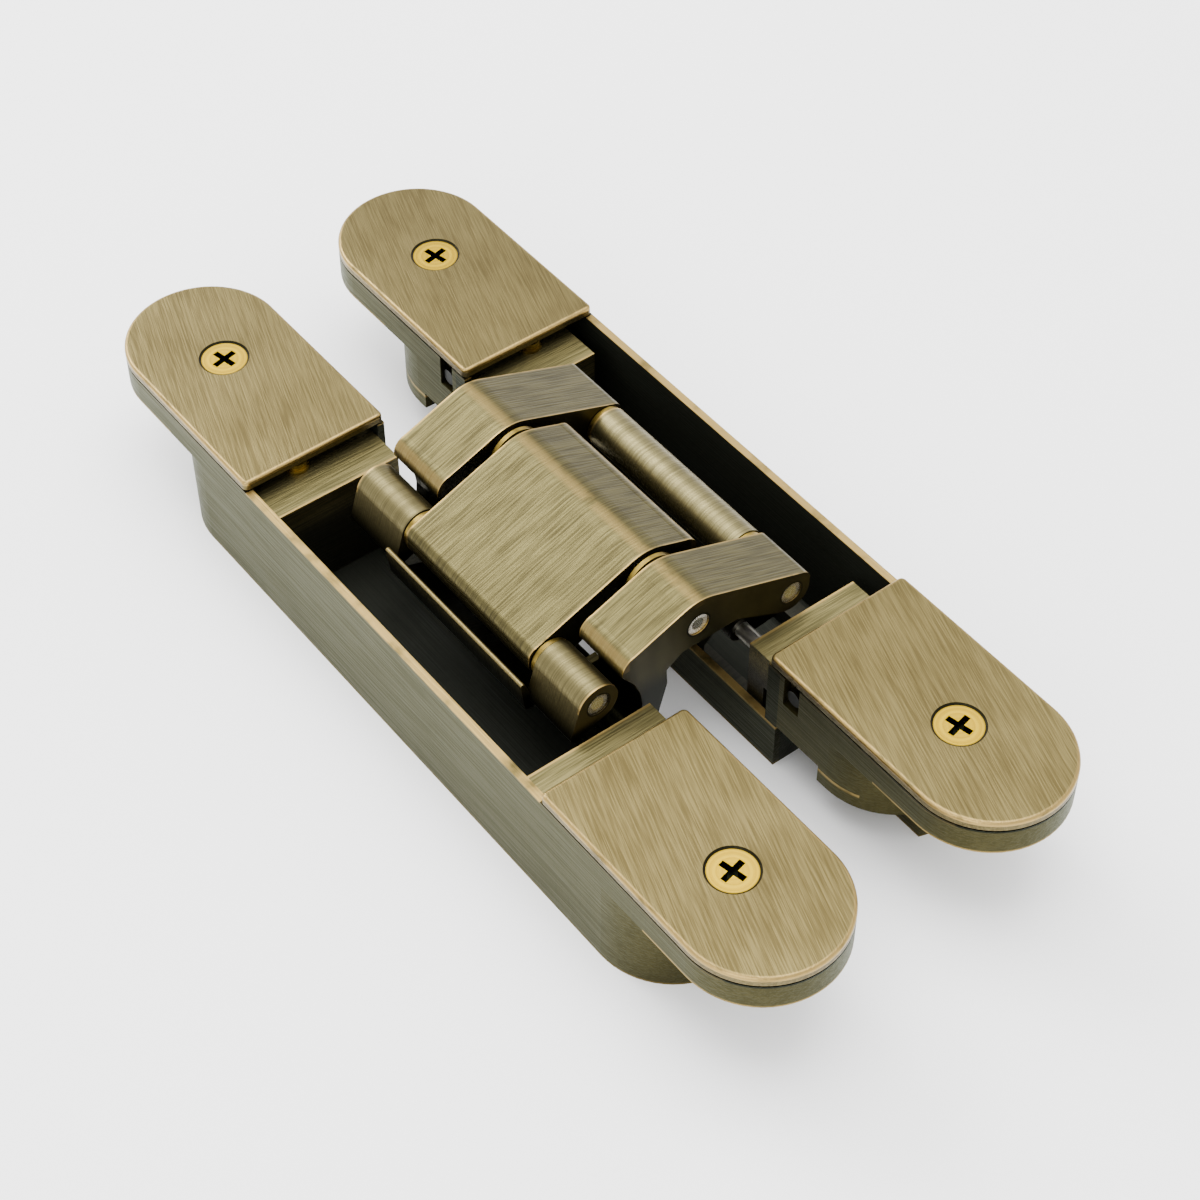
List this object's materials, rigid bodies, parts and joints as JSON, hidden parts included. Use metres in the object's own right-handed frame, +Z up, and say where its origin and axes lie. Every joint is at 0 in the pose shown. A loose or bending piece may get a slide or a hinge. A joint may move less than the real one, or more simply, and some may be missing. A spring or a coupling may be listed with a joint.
{
  "type": "concealed door hinge",
  "caption": "Concealed adjustable door hinge: mortised frame and door cases joined by a folding scissor linkage, shown fully open.",
  "frame": {"origin": "centre of the footprint, at the bottom of the cases", "axes": "+X along the cases towards the near end of the picture, +Y from the frame case to the door case, +Z up out of the faces"},
  "size_m": [0.18, 0.073, 0.0367],
  "materials": {
    "cap_bronze": "brushed antique brass plating",
    "case_bronze": "antique brass plating, worn gold on the edges",
    "carrier_bronze": "dark brushed antique brass plating",
    "arm_bronze": "brushed antique brass plating",
    "link_bronze": "turned and brushed antique brass plating",
    "cap_screw_brass": "satin brass",
    "washer_brass": "plain brass",
    "adjuster_brass": "plain brass",
    "pin_steel": "bright turned ends"
  },
  "bodies": {
    "frame_case": {"left_case": "case_bronze", "left_near_cap": "cap_bronze", "left_far_cap": "cap_bronze", "left_cap_screws": "cap_screw_brass"},
    "frame_carrier": {"left_carrier": "carrier_bronze", "left_adjusting_screws": "adjuster_brass", "left_far_fixed_pin": "pin_steel", "left_near_fixed_pin": "pin_steel", "left_link_pin": "pin_steel"},
    "outer_arms": {"far_outer_arm": "arm_bronze", "near_outer_arm": "arm_bronze", "centre_pin": "pin_steel", "centre_washers": "washer_brass", "right_knuckle_pins": "pin_steel", "right_knuckle_washers": "washer_brass"},
    "centre_arm": {"centre_arm": "arm_bronze", "centre_arm_knuckle_pin": "pin_steel"},
    "frame_link": {"left_link": "link_bronze", "left_knuckle_pins": "pin_steel", "left_knuckle_washers": "washer_brass"},
    "door_carrier": {"right_carrier": "carrier_bronze", "right_adjusting_screws": "adjuster_brass", "right_side_screws": "adjuster_brass", "right_fixed_pin": "pin_steel", "right_link_pins": "pin_steel"},
    "door_link": {"right_link": "link_bronze", "right_barrel_pin": "pin_steel"},
    "door_case": {"right_case": "case_bronze", "right_near_cap": "cap_bronze", "right_far_cap": "cap_bronze", "right_cap_screws": "cap_screw_brass"}
  },
  "joints": [
    {"name": "height_adjustment", "type": "slide", "parent": "frame_case", "child": "frame_carrier", "axis": [1, 0, 0], "range_m": [-0.003, 0.003]},
    {"name": "outer_arm_pivot", "type": "hinge", "parent": "frame_carrier", "child": "outer_arms", "pos_m": [0, -0.01219, 0.013], "axis": [1, 0, 0], "range_deg": [0, 80]},
    {"name": "scissor_pivot", "type": "hinge", "parent": "outer_arms", "child": "centre_arm", "pos_m": [0, 0, 0.0314], "axis": [1, 0, 0], "range_deg": [0, 20]},
    {"name": "frame_link_pivot", "type": "hinge", "parent": "frame_carrier", "child": "frame_link", "pos_m": [0, -0.01275, 0.01797], "axis": [1, 0, 0], "range_deg": [0, 100]},
    {"name": "door_pivot", "type": "hinge", "parent": "centre_arm", "child": "door_carrier", "pos_m": [0, 0.01219, 0.013], "axis": [1, 0, 0], "range_deg": [0, 80]},
    {"name": "door_link_pivot", "type": "hinge", "parent": "door_carrier", "child": "door_link", "pos_m": [0, 0.01275, 0.01797], "axis": [-1, 0, 0], "range_deg": [0, 100]},
    {"name": "side_adjustment", "type": "slide", "parent": "door_carrier", "child": "door_case", "axis": [0, -1, 0], "range_m": [0, 0.0015]}
  ],
  "couplings": [
    {"joint": "outer_arm_pivot", "follows": "door_pivot", "ratio": 1},
    {"joint": "scissor_pivot", "follows": "door_pivot", "ratio": 0.25},
    {"joint": "frame_link_pivot", "follows": "door_pivot", "ratio": 1.25},
    {"joint": "door_link_pivot", "follows": "door_pivot", "ratio": 1.25}
  ]
}
